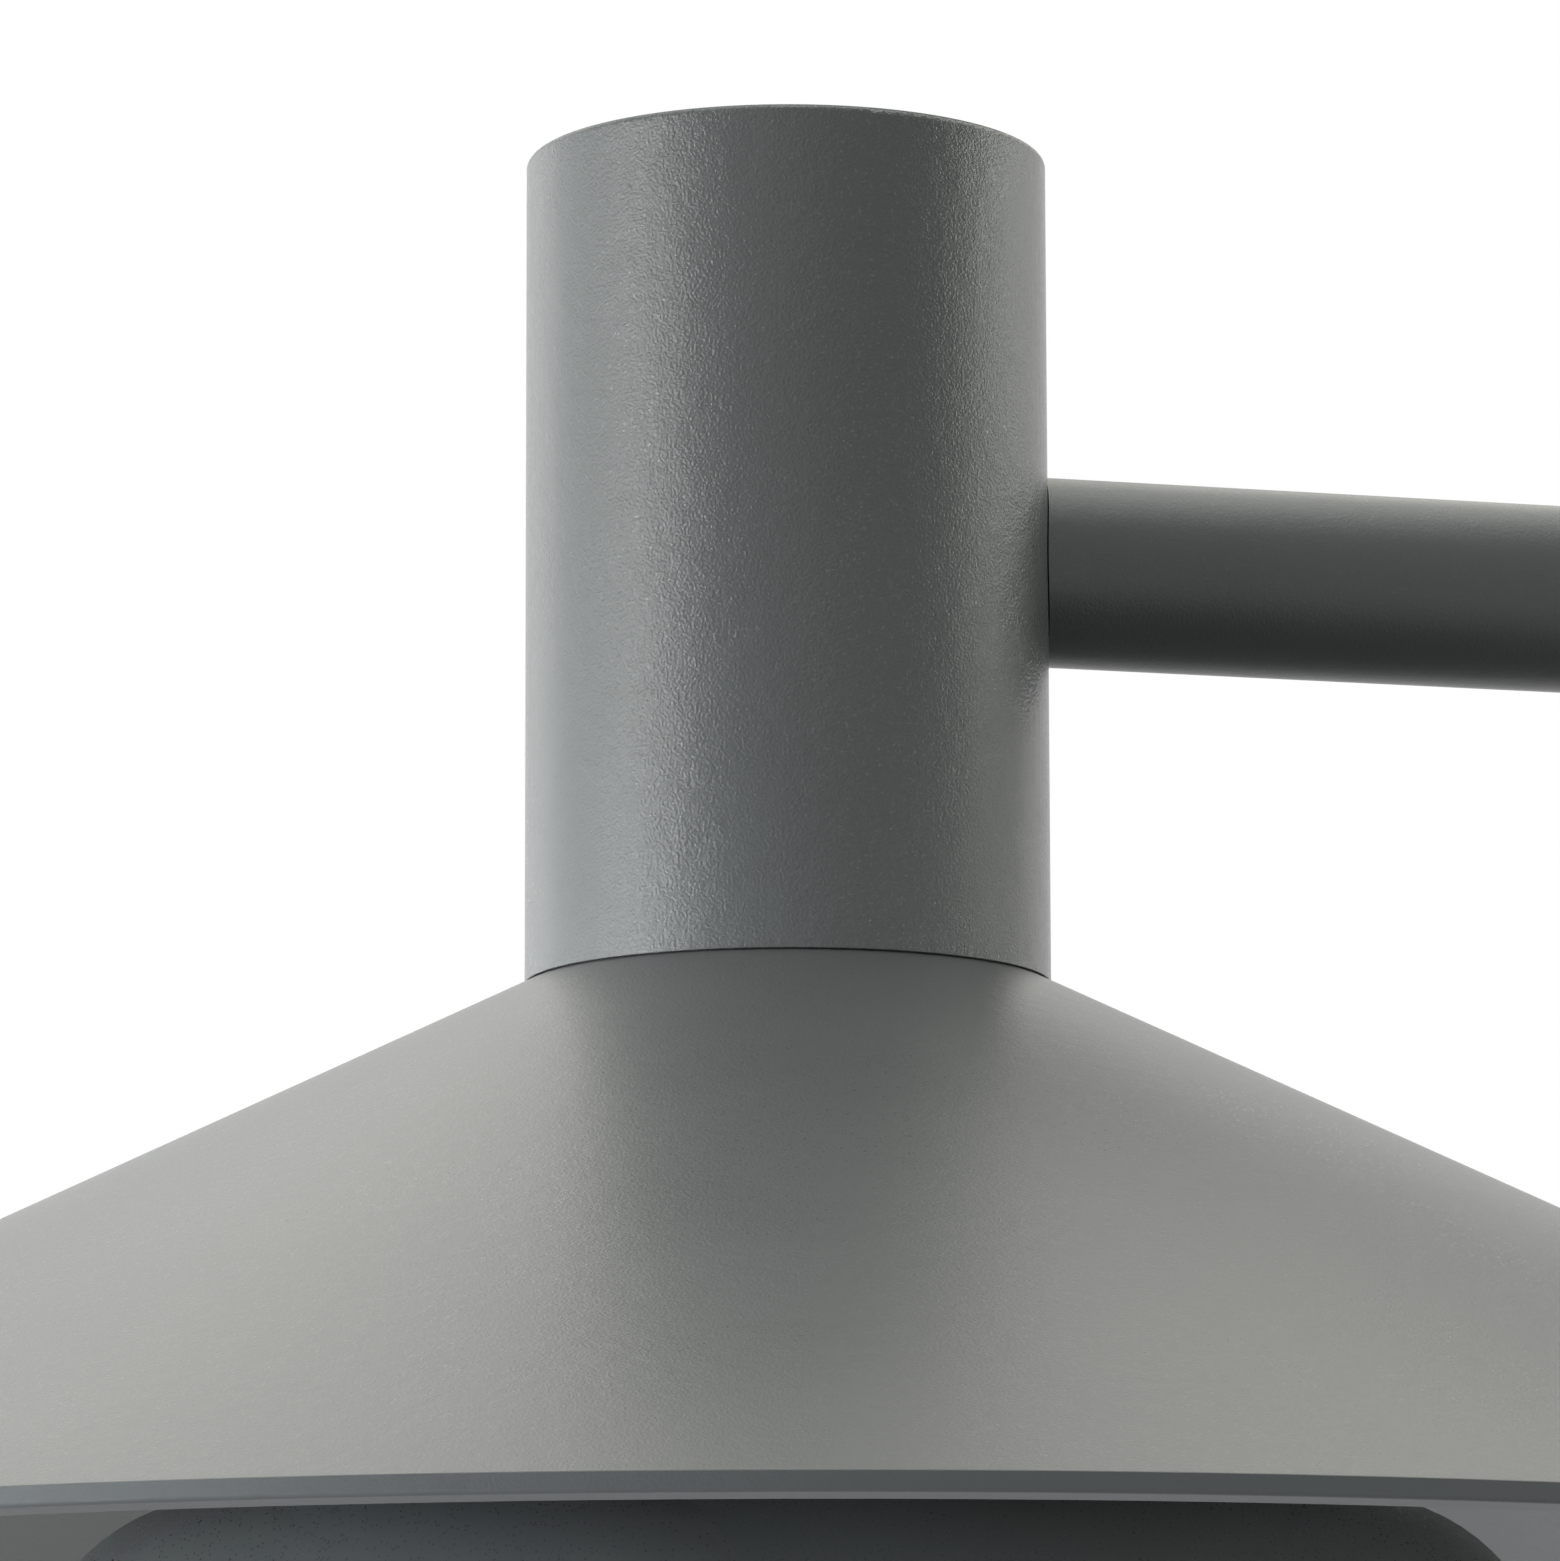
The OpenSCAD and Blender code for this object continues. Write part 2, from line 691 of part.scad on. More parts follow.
module diffuser_seal() {
    color(rubber_black) at_head() translate([0, 0, diffuser_top_z]) ring(diffuser_d, diffuser_d - 2 * seal_w, seal_t);
}

module bezel() {
    color(dark_graphite) at_head() difference() {
        translate([0, 0, bezel_z]) rotate_extrude() difference() {
            translate([0, bezel_t]) mirror([0, 1]) round_top_section(housing_r, bezel_t, bezel_edge_r);
            translate([-cut, -cut]) square([cut + bezel_open_d / 2, bezel_t + 2 * cut]);
            translate([-cut, bezel_lip_t]) square([cut + diffuser_d / 2 + slide_fit, bezel_t]);
        }
        around(bezel_screw_n, bezel_pcd) translate([0, 0, bezel_z - cut]) {
            cylinder(r = screw_d / 2 + through_fit, h = bezel_t + 2 * cut);
            cylinder(r = screw_head_d / 2 + through_fit, h = screw_head_h + cut);
        }
    }
}

module bezel_screws() {
    l = bezel_t - screw_head_h + mouth_t - 1.5;
    color(steel) at_head() around(bezel_screw_n, bezel_pcd) translate([0, 0, bezel_z + screw_head_h]) small_screw(l);
}

// The arm's ends are shaped to the round walls of the can and the post
module arm_tube() {
    color(graphite) difference() {
        translate([-reach, 0, arm_z]) rotate([0, 90, 0]) ring(arm_d, 2 * arm_in_r, reach);
        translate([-reach, 0, arm_z - arm_d]) cylinder(r = can_r + joint_gap, h = 2 * arm_d);
        translate([0, 0, arm_z - arm_d]) cylinder(r = post_r + joint_gap, h = 2 * arm_d);
    }
}

// Draws a piece of the arm's fixing once for an end: local +X leaves that end's axis along the arm
module at_arm_end(is_head) {
    translate([is_head ? -reach : 0, 0, arm_z]) mirror([is_head ? 0 : 1, 0, 0]) children();
}

module along_arm(d_out, d_in, from, l) {
    translate([from, 0, 0]) rotate([0, 90, 0]) ring(d_out, d_in, l);
}

module arm_bush(is_head, wall_r) {
    color(cast_grey) at_arm_end(is_head)
        along_arm(2 * (arm_in_r - thread_fit), 2 * (nipple_r + thread_fit), wall_r + bush_inset, bush_l);
}

module nipple(is_head, wall_r) {
    color(zinc) at_arm_end(is_head)
        along_arm(nipple_d, nipple_bore_d, nipple_clear, wall_r + bush_inset + nipple_grip - nipple_clear);
}

module saddle(is_head, inner_r) {
    color(cast_grey) at_arm_end(is_head) difference() {
        intersection() {
            translate([0, 0, -saddle_w]) cylinder(r = inner_r - thread_fit, h = 2 * saddle_w);
            translate([saddle_face, -saddle_w / 2, -saddle_w / 2]) cube([inner_r, saddle_w, saddle_w]);
        }
        rotate([0, 90, 0]) cylinder(r = nipple_r + thread_fit, h = inner_r + cut);
    }
}

module arm_bush_head() {
    arm_bush(true, can_r);
}

module arm_bush_post() {
    arm_bush(false, post_r);
}

module nipple_head() {
    nipple(true, can_r);
}

module nipple_post() {
    nipple(false, post_r);
}

module saddle_head() {
    saddle(true, can_in_r);
}

module saddle_post() {
    saddle(false, post_in_r);
}

module arm_nuts() {
    color(zinc) for (is_head = [true, false]) at_arm_end(is_head) translate([saddle_face - nut_t, 0, 0])
        rotate([0, 90, 0]) difference() {
            cylinder(d = nut_af / cos(30), h = nut_t, $fn = 6);
            translate([0, 0, -cut]) cylinder(r = nipple_r + thread_fit, h = nut_t + 2 * cut);
        }
}

// A quarter bend of the cable in the XZ plane, from straight down to straight along +X
module cable_quarter() {
    rotate([90, 0, 0]) rotate_extrude(angle = 90) translate([cable_bend, 0]) circle(d = cable_d);
}

// The cable runs up the post, along the arm and down the stem to the board
module lamp_cable() {
    low_z = arm_z - cable_bend;
    color(rubber_black) {
        translate([0, 0, driver_top_z]) cylinder(d = cable_d, h = low_z - driver_top_z);
        translate([-cable_bend, 0, low_z]) cable_quarter();
        translate([cable_bend - reach, 0, arm_z]) rotate([0, 90, 0]) cylinder(d = cable_d, h = reach - 2 * cable_bend);
        translate([cable_bend - reach, 0, low_z]) mirror([1, 0, 0]) cable_quarter();
        translate([-reach, 0, board_z]) cylinder(d = cable_d, h = low_z - board_z);
    }
}

module doorway(w, h, r, from, to) {
    translate([from, 0, door_z]) rotate([90, 0, 90]) linear_extrude(to - from) round_rect(w, h, r);
}

// A curved sheet between two radii, bounded by a doorway outline that faces +X
module curved_panel(r_out, r_in, w, h, r) {
    intersection() {
        translate([0, 0, door_z - h / 2 - cut]) ring(2 * r_out, 2 * r_in, h + 2 * cut);
        doorway(w, h, r, 0, r_out + cut);
    }
}

module door_screw_holes(d) {
    for (side = [-1, 1]) translate([0, 0, door_z + side * (door_h / 2 - door_screw_inset)])
        rotate([0, 90, 0]) cylinder(d = d, h = post_r + cut);
}

module post_tube() {
    color(graphite) difference() {
        translate([0, 0, base_t]) ring(post_d, 2 * post_in_r, post_top_z - base_t);
        facing_door() doorway(door_w, door_h, door_r, 0, post_r + cut);
        translate([0, 0, arm_z]) rotate([0, -90, 0]) cylinder(r = nipple_r + slide_fit, h = post_r + cut);
        cap_screw_places() translate([0, 0, -cut]) cylinder(r = screw_d / 2 + thread_fit, h = cap_screw_l + cut);
    }
}

// Local +Z points inward from the post's outer face
module cap_screw_places() {
    around(cap_screw_n, post_d, 90) translate([0, 0, post_top_z - cap_screw_drop]) rotate([0, -90, 0]) children();
}

module post_cap() {
    spigot_r = post_in_r - slide_fit;
    color(graphite) difference() {
        rotate_extrude() difference() {
            union() {
                translate([0, overall_h - cap_t]) round_top_section(post_r, cap_t, edge_r);
                translate([0, post_top_z - cap_spigot_h]) square([spigot_r, overall_h - edge_r - post_top_z + cap_spigot_h]);
            }
            translate([-cut, post_top_z - cap_spigot_h - cut])
                square([cut + spigot_r - cap_spigot_wall, cut + cap_spigot_h + cap_seal_t]);
        }
        cap_screw_places() cylinder(r = screw_d / 2 + thread_fit, h = cap_screw_l + cut);
    }
}

module cap_seal() {
    color(rubber_black) translate([0, 0, post_top_z]) ring(post_d - 2 * cap_seal_inset, 2 * post_in_r, cap_seal_t);
}

module cap_screws() {
    color(steel) cap_screw_places() difference() {
        translate([0, 0, 0.4]) cylinder(d = screw_d, h = cap_screw_l - 0.4);
        translate([0, 0, -cut]) cylinder(d = screw_d * 0.55, h = cut + cap_screw_l / 2, $fn = 6);
    }
}

module door() {
    color(graphite) facing_door() difference() {
        curved_panel(post_r, door_in_r, door_w - 2 * door_gap, door_h - 2 * door_gap, door_r - door_gap);
        door_screw_holes(door_screw_d + 2 * through_fit);
        for (side = [-1, 1]) translate([post_r - spot_face, 0, door_z + side * (door_h / 2 - door_screw_inset)])
            rotate([0, 90, 0]) cylinder(r = door_head_d / 2 + through_fit, h = 2 * spot_face);
    }
}

module door_seal() {
    w = door_w - 2 * door_gap;
    h = door_h - 2 * door_gap;
    r = door_r - door_gap;
    color(rubber_black) facing_door() difference() {
        curved_panel(door_in_r, post_in_r, w, h, r);
        doorway(w - 2 * door_seal_w, h - 2 * (frame_end - 2), r - 2, 0, post_r);
        door_screw_holes(door_screw_d + 2 * through_fit);
    }
}

module door_frame() {
    color(zinc) facing_door() difference() {
        curved_panel(post_in_r - thread_fit, frame_in_r, door_w + 2 * frame_lap, door_h + 2 * frame_lap, door_r);
        doorway(door_w - 2 * frame_ledge, door_h - 2 * frame_end, door_r - 2, 0, post_r);
        door_screw_holes(door_screw_d + 2 * thread_fit);
    }
}

module door_screws() {
    reach_in = post_r - spot_face - frame_in_r + 1.5;
    color(steel) facing_door() for (side = [-1, 1])
        translate([post_r - spot_face, 0, door_z + side * (door_h / 2 - door_screw_inset)])
            rotate([0, -90, 0]) screw(door_screw_d, door_head_d, door_head_h, reach_in);
}

module gear_lugs() {
    color(zinc) facing_door() for (z = lug_places) difference() {
        intersection() {
            translate([0, 0, z - lug_w / 2]) cylinder(r = post_in_r, h = lug_w);
            translate([-post_in_r, -lug_w / 2, z - lug_w])
                cube([post_in_r - gear_back - gear_t, lug_w, 2 * lug_w]);
        }
        translate([gear_front - gear_t + cut, 0, z]) rotate([0, -90, 0])
            cylinder(r = screw_d / 2 + thread_fit, h = cut + 10);
    }
}

module gear_plate() {
    color(zinc) facing_door() difference() {
        translate([gear_front - gear_t, -gear_w / 2, door_z - gear_down]) cube([gear_t, gear_w, gear_down + gear_up]);
        for (z = lug_places) translate([gear_front - gear_t - cut, 0, z]) rotate([0, 90, 0])
            cylinder(r = screw_d / 2 + through_fit, h = gear_t + 2 * cut);
        driver_screw_places() translate([0, 0, -cut]) cylinder(r = fine_d / 2 + thread_fit, h = gear_t + tab_t + 2 * cut);
        earth_place() translate([0, 0, -gear_t - cut]) cylinder(r = earth_r + thread_fit, h = gear_t + 2 * cut);
    }
}

module gear_screws() {
    color(steel) facing_door() for (z = lug_places) translate([gear_front, 0, z])
        rotate([0, -90, 0]) small_screw(gear_t + 8);
}

// Local +Z points into the gear plate, from the front face of the driver's tabs
module driver_screw_places() {
    for (z = [driver_foot_z - tab_l / 2, driver_top_z + tab_l / 2], y = [-1, 1])
        translate([gear_front + tab_t, y * driver_size[0] / 4, z]) rotate([0, -90, 0]) children();
}

// The driver's case has rounded long edges and a fixing tab at each end
module led_driver() {
    w = driver_size[0];
    d = driver_size[1];
    corner = 2;
    color(case_grey) facing_door() difference() {
        union() {
            translate([gear_front + d / 2, 0, driver_foot_z]) linear_extrude(driver_size[2]) round_rect(d, w, corner);
            translate([gear_front, -w / 2, driver_foot_z - tab_l]) cube([tab_t, w, driver_size[2] + 2 * tab_l]);
        }
        driver_screw_places() translate([0, 0, -cut]) cylinder(r = fine_d / 2 + through_fit, h = tab_t + 2 * cut);
    }
}

module driver_screws() {
    color(steel) facing_door() driver_screw_places() fine_screw(tab_t + gear_t + 1);
}

// The terminal block has a wire hole at each end of every pole and a screw pit in front of it
module terminal_block() {
    w = terminal_size[0];
    d = terminal_size[1];
    h = terminal_size[2];
    pitch = (w - 2) / pole_n;
    hole_x = gear_back;
    color(opal) facing_door() translate([gear_front, 0, terminal_z]) difference() {
        translate([0, -w / 2, 0]) cube([d, w, h]);
        for (i = [0 : pole_n - 1]) translate([0, (i - (pole_n - 1) / 2) * pitch, 0]) {
            for (z = [-cut, h - 6]) translate([hole_x, 0, z]) cylinder(d = wire_hole_d, h = 6 + cut);
            for (z = [h / 4, h * 3 / 4]) translate([d - 4, 0, z]) rotate([0, 90, 0]) cylinder(d = wire_hole_d, h = 4 + cut);
            translate([d - 1, pitch / 2 - 0.3, -cut]) cube([1 + cut, 0.6, h + 2 * cut]);
        }
    }
}

module driver_leads() {
    pitch = (terminal_size[0] - 2) / pole_n;
    from = terminal_z + terminal_size[2] - 6;
    color(lead_blue) facing_door() for (side = [-1, 1])
        translate([0, side * pitch, from]) cylinder(d = lead_d, h = driver_foot_z - from);
}

// Local +Z points out of the gear plate's front face, along the earth stud
module earth_place() {
    translate([gear_front, earth_side, door_z - earth_low]) rotate([0, 90, 0]) children();
}

module earth_stud() {
    color(brass_gold) facing_door() earth_place() translate([0, 0, -gear_t]) cylinder(r = earth_r, h = earth_l);
}

module earth_nuts() {
    nut_h = 4;
    color(brass_gold) facing_door() earth_place() for (z = [washer_t, 2 * washer_t + nut_h]) translate([0, 0, z])
        difference() {
            cylinder(d = 8 / cos(30), h = nut_h, $fn = 6);
            translate([0, 0, -cut]) cylinder(r = earth_r + thread_fit, h = nut_h + 2 * cut);
        }
}

module earth_washers() {
    nut_h = 4;
    color(steel) facing_door() earth_place() for (z = [0, washer_t + nut_h]) translate([0, 0, z])
        ring(2 * earth_r + 5, 2 * (earth_r + slide_fit), washer_t);
}

module base_plate() {
    color(graphite) difference() {
        rotate_extrude() polygon([
            [entry_d / 2, 0], [base_d / 2, 0], [base_d / 2, base_t - base_chamfer],
            [base_d / 2 - base_chamfer, base_t], [entry_d / 2, base_t]
        ]);
        around(anchor_n, anchor_pcd, 45) translate([0, 0, -cut]) cylinder(d = anchor_d, h = base_t + 2 * cut);
    }
}

module foot_weld() {
    color(graphite) translate([0, 0, base_t]) rotate_extrude()
        polygon([[post_r, 0], [post_r + weld_w, 0], [post_r, weld_w]]);
}

module entry_grommet() {
    color(rubber_black) difference() {
        union() {
            translate([0, 0, entry_lift]) cylinder(r = entry_d / 2 - thread_fit, h = base_t - entry_lift);
            translate([0, 0, base_t]) cylinder(r = entry_d / 2 + entry_flange_w, h = entry_flange_t);
        }
        cylinder(d = entry_bore_d, h = base_t + entry_flange_t + cut);
    }
}

head_can();
can_plug();
seam_gasket();
shade();
neck();
neck_screws();
neck_gasket();
housing_screws();
led_housing();
cable_grommet();
led_board();
board_screws();
led_chips();
board_connector();
reflector();
diffuser();
diffuser_seal();
bezel();
bezel_screws();
arm_tube();
arm_bush_head();
arm_bush_post();
nipple_head();
nipple_post();
saddle_head();
saddle_post();
arm_nuts();
lamp_cable();
post_tube();
post_cap();
cap_seal();
cap_screws();
door();
door_seal();
door_frame();
door_screws();
gear_lugs();
gear_plate();
gear_screws();
led_driver();
driver_screws();
terminal_block();
driver_leads();
earth_stud();
earth_nuts();
earth_washers();
base_plate();
foot_weld();
entry_grommet();
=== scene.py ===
# %% [markdown]
# # LED post light: camera, light and finishes
#
# The object is a low lamp for paths and gardens. A round post on a flange carries a slim
# arm, the arm carries a cylindrical can, and a wide conical shade hangs under the can with
# a round light unit inside it. The solids come from the CAD part. A scene could model them
# again by hand, but then sizes and looks would drift apart, so this script loads them as
# they are and only adds what a solid can't say: the camera, the light, the finishes and
# the ripples of one weld.

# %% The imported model
import math

import bmesh
import bpy
from mathutils import Matrix, Vector


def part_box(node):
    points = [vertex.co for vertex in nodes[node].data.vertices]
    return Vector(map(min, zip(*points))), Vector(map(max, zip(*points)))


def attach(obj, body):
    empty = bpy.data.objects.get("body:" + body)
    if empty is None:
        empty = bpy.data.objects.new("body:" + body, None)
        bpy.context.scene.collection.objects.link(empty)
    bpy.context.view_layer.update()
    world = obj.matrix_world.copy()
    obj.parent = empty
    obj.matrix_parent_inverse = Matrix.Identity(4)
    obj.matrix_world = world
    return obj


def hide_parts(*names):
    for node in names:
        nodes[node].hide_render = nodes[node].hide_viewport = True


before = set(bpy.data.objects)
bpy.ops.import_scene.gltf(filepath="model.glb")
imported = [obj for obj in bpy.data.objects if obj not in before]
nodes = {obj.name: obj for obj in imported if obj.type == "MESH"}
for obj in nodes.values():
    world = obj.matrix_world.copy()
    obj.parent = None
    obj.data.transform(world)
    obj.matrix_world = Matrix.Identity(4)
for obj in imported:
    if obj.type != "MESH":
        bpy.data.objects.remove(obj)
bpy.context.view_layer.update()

# %% [markdown]
# ## The camera
#
# The picture was taken with a long lens, from slightly below the shade and turned a little
# towards the arm. Such a view could be set by eye, but a long lens forgives no error, so
# its numbers come from a fit: the edges of can, shade and arm in the picture against the
# same edges of the solids. The fit gives the distance, the eye's height, the pitch, a tiny
# roll, and how far the picture's centre lies from the can's axis.

# %% Camera
PICTURE_W = 1560
PICTURE_H = 1561
SENSOR = 36.0
FOCAL_PX = 8605.333
HEAD = Vector((-0.26, 0.0, 0.0))
EYE_DISTANCE = 0.971361
EYE_HEIGHT = 0.766511
TURN = math.radians(15.9338)
PITCH = math.radians(9.4224)
ROLL = math.radians(-0.1369)
AXIS_RIGHT_PX = 7.378
AXIS_BELOW_PX = 0.5

ahead = Vector((math.sin(TURN), math.cos(TURN), 0.0))
right = Vector((math.cos(TURN), -math.sin(TURN), 0.0))
eye = HEAD - ahead * EYE_DISTANCE + Vector((0.0, 0.0, EYE_HEIGHT))
look = (ahead * math.cos(PITCH) + Vector((0.0, 0.0, math.sin(PITCH)))).normalized()
up = right.cross(look).normalized()
look = (look - right * (AXIS_RIGHT_PX / FOCAL_PX) + up * (AXIS_BELOW_PX / FOCAL_PX)).normalized()
up = right.cross(look).normalized()
right_flat = look.cross(up).normalized()
side = right_flat * math.cos(ROLL) + up * math.sin(ROLL)
top = up * math.cos(ROLL) - right_flat * math.sin(ROLL)

camera_data = bpy.data.cameras.new("camera")
camera_data.sensor_width = SENSOR
camera_data.lens = FOCAL_PX * SENSOR / max(PICTURE_W, PICTURE_H)
camera_data.clip_start = 0.05
camera_data.clip_end = 60.0
camera = bpy.data.objects.new("camera", camera_data)
bpy.context.collection.objects.link(camera)
camera.matrix_world = Matrix.Translation(eye) @ Matrix((side, top, -look)).transposed().to_4x4()
bpy.context.scene.camera = camera
print("lens:", round(camera_data.lens, 2), "mm, eye:", [round(v, 4) for v in eye])

# %% [markdown]
# ## Node trees as plain maths
#
# A finish is a small calculation: take a pattern, scale it, mix two colours with it. It
# could be wired by hand in the node editor, but a written formula is easier to read and to
# change. `Signal` wraps one socket, so that `1 - mask` or `grain * 0.3` adds its own Math
# node.

# %% One socket
class Signal:
    """One output socket, on which plain maths adds Math nodes."""

    def __init__(self, finish, socket):
        self.finish = finish
        self.socket = socket

    def __add__(self, other):
        return self.finish.maths("ADD", self, other)

    def __sub__(self, other):
        return self.finish.maths("SUBTRACT", self, other)

    def __rsub__(self, other):
        return self.finish.maths("SUBTRACT", other, self)

    def __mul__(self, other):
        return self.finish.maths("MULTIPLY", self, other)

    def __gt__(self, other):
        return self.finish.maths("GREATER_THAN", self, other)

    def __lt__(self, other):
        return self.finish.maths("LESS_THAN", self, other)

    __radd__ = __add__
    __rmul__ = __mul__


print("a signal knows + - * > <")

# %% [markdown]
# ## One node tree
#
# `Finish` owns the node tree of a material or of the world. Each kind of node could get its
# own way in, but one method, `add`, makes any node from its type, its settings, its inputs
# and the output that is wanted. The short methods below it name the few patterns that the
# finishes share. All of them read Object coordinates in metres, so sizes are real ones.

# %% A node tree
class Finish:
    """A node tree, of a material or of the world, and the way to add a node to it."""

    def __init__(self, owner):
        owner.use_nodes = True
        self.owner = owner
        self.tree = owner.node_tree
        self.tree.nodes.clear()

    def add(self, kind, settings, inputs, output=0):
        node = self.tree.nodes.new(kind)
        stops = settings.pop("stops", None)
        for name, value in settings.items():
            setattr(node, name, value)
        if stops:
            ramp = node.color_ramp.elements
            while len(ramp) < len(stops):
                ramp.new(0.5)
            for element, (place, shade) in zip(ramp, stops):
                element.position = place
                element.color = (shade, shade, shade, 1.0)
        for name, value in inputs.items():
            socket = next(s for s in node.inputs if name in (s.identifier, s.name))
            if isinstance(value, Signal):
                self.tree.links.new(value.socket, socket)
            else:
                socket.default_value = value
        outputs = [s for s in node.outputs if output in (s.identifier, s.name)]
        return Signal(self, outputs[0]) if outputs else node

    def maths(self, operation, first, second, third=0.0):
        inputs = {"Value": first, "Value_001": second, "Value_002": third}
        return self.add("ShaderNodeMath", {"operation": operation}, inputs, "Value")

    def place(self):
        return self.add("ShaderNodeTexCoord", {}, {}, "Object")

    def height(self):
        return self.add("ShaderNodeSeparateXYZ", {}, {"Vector": self.place()}, "Z")

    def noise(self, size, detail=2.0, roughness=0.5):
        inputs = {"Scale": 1.0 / size, "Detail": detail, "Roughness": roughness}
        return self.add("ShaderNodeTexNoise", {}, {"Vector": self.place(), **inputs}, "Fac")

    def cells(self, size):
        inputs = {"Vector": self.place(), "Scale": 1.0 / size}
        return self.add("ShaderNodeTexVoronoi", {}, inputs, "Color")

    def ramp(self, value, low, high, start=0.0, end=1.0):
        stops = [(low, start), (high, end)]
        return self.add("ShaderNodeValToRGB", {"stops": stops}, {"Fac": value}, "Color")

    def tint(self, mask, first, second):
        inputs = {"Factor_Float": mask, "A_Color": (*first, 1.0), "B_Color": (*second, 1.0)}
        return self.add("ShaderNodeMix", {"data_type": "RGBA"}, inputs, "Result_Color")

    def bump(self, height, depth):
        inputs = {"Height": height, "Distance": depth, "Strength": 1.0}
        return self.add("ShaderNodeBump", {}, inputs, "Normal")

    def surface(self, inputs):
        shader = self.add("ShaderNodeBsdfPrincipled", {}, inputs, "BSDF")
        self.add("ShaderNodeOutputMaterial", {}, {"Surface": shader})
        return self.owner


def grey(value, warm=0.0):
    """A linear grey, warmer where warm is above 0 and cooler below."""
    return (value * (1.0 + warm), value, value * (1.0 - warm))


print("a light grey, a little warm:", [round(c, 3) for c in grey(0.5, 0.02)])

# %% [markdown]
# ## Background
#
# The picture shows the lamp on plain white. A white wall would throw its own light on the
# lamp, so the white is painted only for rays that come from the camera, or that a glossy or
# clear surface sends on. Rays that light the lamp see a dark grey.

# %% World
AMBIENT = 0.05
WHITE = (1.0, 1.0, 1.0, 1.0)


def seen_directly(finish):
    """1 for rays from the camera, from gloss and through glass, otherwise 0."""
    path = [finish.add("ShaderNodeLightPath", {}, {}, name)
            for name in ("Is Camera Ray", "Is Glossy Ray", "Is Transmission Ray")]
    return (path[0] + path[1] + path[2]) > 0.5


world = bpy.data.worlds.new("studio")
bpy.context.scene.world = world
air = Finish(world)
strength = AMBIENT + seen_directly(air) * (1.0 - AMBIENT)
background = air.add("ShaderNodeBackground", {}, {"Color": WHITE, "Strength": strength}, "Background")
air.add("ShaderNodeOutputWorld", {}, {"Surface": background})
print("the world lights with", AMBIENT, "and shows as 1")

# %% [markdown]
# ## Floor
#
# The floor is a pale disc that takes the lamp's shadow. A disc would end in a horizon, and
# a horizon cuts the picture, so the paint starts to glow a little way out from the post and
# is as white as the background before the disc ends. From below it is clear, so that the
# underside can be looked at too.

# %% Floor
FLOOR_R = 14.0
FADE_FROM = 0.28
FADE_TO = 2.52
FLOOR_GLOW = 0.25
FLOOR_PAINT = (0.8, 0.8, 0.8, 1.0)

paint = Finish(bpy.data.materials.new("floor_paint"))
distance = paint.add("ShaderNodeVectorMath", {"operation": "LENGTH"}, {"Vector": paint.place()}, "Value")
share = distance * (1.0 / FLOOR_R)
fade = paint.ramp(share, FADE_FROM / FLOOR_R, FADE_TO / FLOOR_R, FLOOR_GLOW, 1.0)
matt = paint.add("ShaderNodeBsdfDiffuse", {}, {"Color": FLOOR_PAINT}, "BSDF")
glow = paint.add("ShaderNodeEmission", {}, {"Color": WHITE, "Strength": 1.0}, "Emission")
lit = paint.add("ShaderNodeMixShader", {},
                {"Fac": fade * seen_directly(paint), "Shader": matt, "Shader_001": glow}, "Shader")
clear = paint.add("ShaderNodeBsdfTransparent", {}, {"Color": WHITE}, "BSDF")
underneath = paint.add("ShaderNodeNewGeometry", {}, {}, "Backfacing")
sided = paint.add("ShaderNodeMixShader", {},
                  {"Fac": underneath, "Shader": lit, "Shader_001": clear}, "Shader")
paint.add("ShaderNodeOutputMaterial", {}, {"Surface": sided})

shape = bmesh.new()
bmesh.ops.create_circle(shape, cap_ends=True, segments=96, radius=FLOOR_R)
floor_mesh = bpy.data.meshes.new("floor")
shape.to_mesh(floor_mesh)
shape.free()
floor_mesh.materials.append(paint.owner)
floor = bpy.data.objects.new("floor", floor_mesh)
bpy.context.collection.objects.link(floor)
print("floor radius:", FLOOR_R, "m")

# %% [markdown]
# ## Lamps
#
# The coat shows what stands round it: tall soft boxes at both sides, the strongest on the
# left, two high ones behind, a large one overhead, and a dark gap in front that leaves the
# middle of the can dark. Four flat ones stand low and shine up under the rim. A grid keeps
# each of those to a narrow beam, so that it reaches the light unit and not the can. The
# strengths could be guessed one by one. Here they were worked out together: every box was
# rendered alone, the mix that comes nearest to the picture was solved for, and then it was
# trimmed a little. The high boxes are a little warm. All are hidden from the camera,
# so that a view from any side looks past them.

# %% Lamps
LAMP_DISTANCE = 1.5
HEAD_MIDDLE = HEAD + Vector((0.0, 0.0, 0.92))
TALL = (0.66, 1.0)
WIDE = (1.0, 0.8)
# Each row: turn and rise in degrees, size in metres, watts, colour.
LAMPS = {
    "left": (-67.0, 5.0, (0.9, 1.0), 16.5, (0.98, 1.0, 0.98)),
    "left_back": (-105.0, 5.0, TALL, 4.6, (0.94, 1.0, 0.99)),
    "left_edge": (-138.0, 5.0, TALL, 2.8, (0.98, 1.0, 0.99)),
    "right_back": (105.0, 5.0, TALL, 6.8, (0.98, 1.0, 0.90)),
    "right_edge": (130.0, 5.0, TALL, 1.3, (0.99, 1.0, 0.92)),
    "high_left": (-150.0, 45.0, WIDE, 3.0, (1.0, 0.97, 0.86)),
    "high_right": (150.0, 45.0, WIDE, 2.6, (1.0, 0.97, 0.82)),
    "overhead": (0.0, 89.0, (1.4, 1.4), 10.4, (0.95, 1.0, 0.94)),
}
UNDER_RIM = HEAD + Vector((0.0, 0.0, 0.78))
LOW_RISE = -8.0
